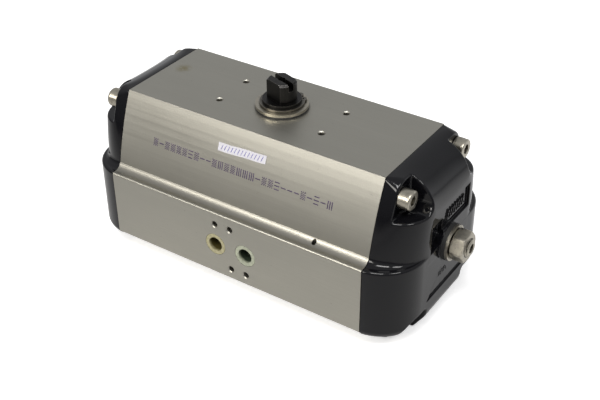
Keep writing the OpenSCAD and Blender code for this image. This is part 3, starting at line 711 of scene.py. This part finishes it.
def printed_marks():
    """A line of dot-printed blocks: chequers, bars, rows and dashes, standing in for lettering."""
    draw = np.random.default_rng(12)
    grid = [(column, row) for column in range(5) for row in range(7)]
    shapes = [
        [(c, r) for c, r in grid if (c + r) % 2 == 0],
        [(c, r) for c, r in grid if c % 2 == 0],
        [(c, r) for c, r in grid if r % 3 == 0],
        [(c, r) for c, r in grid if r == 3],
    ]
    start, end, pitch, foot = -71.5, 67.0, 4.9, 21.4
    dot_pitch = (0.74, 0.78)
    places = []
    for x in np.arange(start, end, pitch):
        shape = shapes[draw.choice(4, p=(0.35, 0.2, 0.3, 0.15))]
        places += [(x + dot_pitch[0] * column, foot + dot_pitch[1] * row) for column, row in shape]
    ink_look = ink("print_ink", (0.03, 0.015, 0.06), (0.08, 0.05, 0.12))
    dots("printed_marks", places, 0.44, 0.03, ink_look)


def pen_strokes():
    """A row of short slanting pen strokes on the label."""
    places = []
    for stroke in range(13):
        x = LABEL_CENTRE[0] + LABEL_SIZE[0] * (0.07 * stroke - 0.42)
        for step in np.linspace(-0.5, 0.5, 12):
            up = LABEL_CENTRE[1] + LABEL_TILT * (x - LABEL_CENTRE[0]) + LABEL_SIZE[1] * 0.55 * step
            places.append((x + 1.1 * step, up))
    pen_look = ink("pen_ink", (0.08, 0.07, 0.3), (0.15, 0.15, 0.4))
    dots("pen_strokes", places, 0.34, 0.2, pen_look)


paper_label()
pen_strokes()
printed_marks()


# ------------------------------------------------------------------------------------------------
# The CAD's own pieces: finish and fine bevels

slots = {part["node"]: part["material_slot"] for part in frame["record"]["subparts"]}
EDGE_WIDTH = {
    "body": 0.25,
    "pinion": 0.35,
    "snap_ring": 0.15,
    "thrust_ring": 0.2,
    "thrust_washer": 0.2,
    "stop_washer_left": 0.3,
    "stop_washer_right": 0.3,
    "stop_seal_left": 0.4,
    "stop_seal_right": 0.4,
    "port_protector_left": 0.15,
    "port_protector_right": 0.15,
}
for node, piece in frame["nodes"].items():
    piece.data.materials.clear()
    piece.data.materials.append(LOOKS[slots[node]])
    smooth_by_angle(piece, 28)
    if node in EDGE_WIDTH:
        soften_edges(piece, EDGE_WIDTH[node])


# ------------------------------------------------------------------------------------------------
# Floor, light and camera

def floor():
    bpy.ops.mesh.primitive_plane_add(size=12, location=(0, 0, -0.3 * MM))
    plane = bpy.context.object
    plane.name = "floor"
    plane.data.materials.append(pale_floor())


def softbox(name, direction, distance, size, power, colour):
    """An area light that looks at the middle of the object."""
    light = bpy.data.lights.new(name, "AREA")
    light.shape = "RECTANGLE"
    light.size, light.size_y = size
    light.energy = power
    light.color = colour
    lamp = bpy.data.objects.new(name, light)
    bpy.context.scene.collection.objects.link(lamp)
    out = Vector(direction).normalized()
    lamp.location = Vector((0, 0, 0.06)) + out * distance
    lamp.rotation_mode = "QUATERNION"
    lamp.rotation_quaternion = out.to_track_quat("Z", "Y")


def surroundings():
    """An even grey studio for reflections, seen as white by the camera itself."""
    world = bpy.data.worlds.new("studio")
    bpy.context.scene.world = world
    world.use_nodes = True
    tree = world.node_tree
    tree.nodes.clear()
    seen = tree.nodes.new("ShaderNodeBackground")
    seen.inputs["Color"].default_value = (1, 1, 1, 1)
    seen.inputs["Strength"].default_value = 1.0
    room = tree.nodes.new("ShaderNodeBackground")
    room.inputs["Color"].default_value = (0.97, 0.98, 1.0, 1)
    direction = tree.nodes.new("ShaderNodeSeparateXYZ")
    tree.links.new(tree.nodes.new("ShaderNodeTexCoord").outputs["Generated"], direction.inputs[0])

    def ramp(value, low, high, start, end):
        node = tree.nodes.new("ShaderNodeMapRange")
        tree.links.new(value, node.inputs["Value"])
        for key, number in zip(("From Min", "From Max", "To Min", "To Max"), (low, high, start, end)):
            node.inputs[key].default_value = number
        return node.outputs[0]

    def joined(operation, a, b):
        node = tree.nodes.new("ShaderNodeMath")
        node.operation = operation
        tree.links.new(a, node.inputs[0])
        tree.links.new(b, node.inputs[1])
        return node.outputs[0]

    overhead = ramp(direction.outputs["Z"], 0.0, 0.5, 0.14, 0.5)
    backdrop = joined("MULTIPLY", ramp(direction.outputs["Y"], 0.0, 0.5, 0.0, 0.6),
                      ramp(direction.outputs["Z"], 0.1, 0.4, 1.0, 0.0))
    tree.links.new(joined("ADD", overhead, backdrop), room.inputs["Strength"])
    path = tree.nodes.new("ShaderNodeLightPath")
    mix = tree.nodes.new("ShaderNodeMixShader")
    output = tree.nodes.new("ShaderNodeOutputWorld")
    tree.links.new(path.outputs["Is Camera Ray"], mix.inputs[0])
    tree.links.new(room.outputs[0], mix.inputs[1])
    tree.links.new(seen.outputs[0], mix.inputs[2])
    tree.links.new(mix.outputs[0], output.inputs["Surface"])


def camera():
    """Azimuth 0 looks along +Y. The aim is off the object's middle, as in a hand-held shot."""
    azimuth, elevation, roll = (math.radians(a) for a in (33.793, 34.343, -0.336))
    aim = Vector((0, 0, 74.5)) * MM
    distance, shift_right, shift_up = 711.09 * MM, 11.28 * MM, -27.09 * MM
    back = Vector((math.sin(azimuth) * math.cos(elevation), -math.cos(azimuth) * math.cos(elevation),
                   math.sin(elevation)))
    right = Vector((math.cos(azimuth), math.sin(azimuth), 0))
    up = back.cross(right)
    lens = bpy.data.cameras.new("camera")
    lens.sensor_width = 36
    lens.lens = 63.1
    lens.clip_start = 0.01
    eye = bpy.data.objects.new("camera", lens)
    bpy.context.scene.collection.objects.link(eye)
    turned_right = right * math.cos(roll) + up * math.sin(roll)
    turned_up = up * math.cos(roll) - right * math.sin(roll)
    place = Matrix((turned_right, turned_up, back)).transposed().to_4x4()
    place.translation = aim + back * distance + right * shift_right + up * shift_up
    eye.matrix_world = place
    bpy.context.scene.camera = eye


floor()
softbox("key_left", (-0.32, -0.88, 0.52), 1.6, (0.9, 0.5), 15, (1.0, 0.965, 0.91))
softbox("front_top", (0.22, -0.50, 0.84), 1.5, (0.5, 0.4), 9, (1.0, 0.99, 0.98))
softbox("right_top", (0.60, -0.18, 0.78), 1.5, (0.4, 0.3), 5, (1.0, 0.99, 0.98))
surroundings()
camera()
bpy.context.scene.view_settings.view_transform = "Standard"
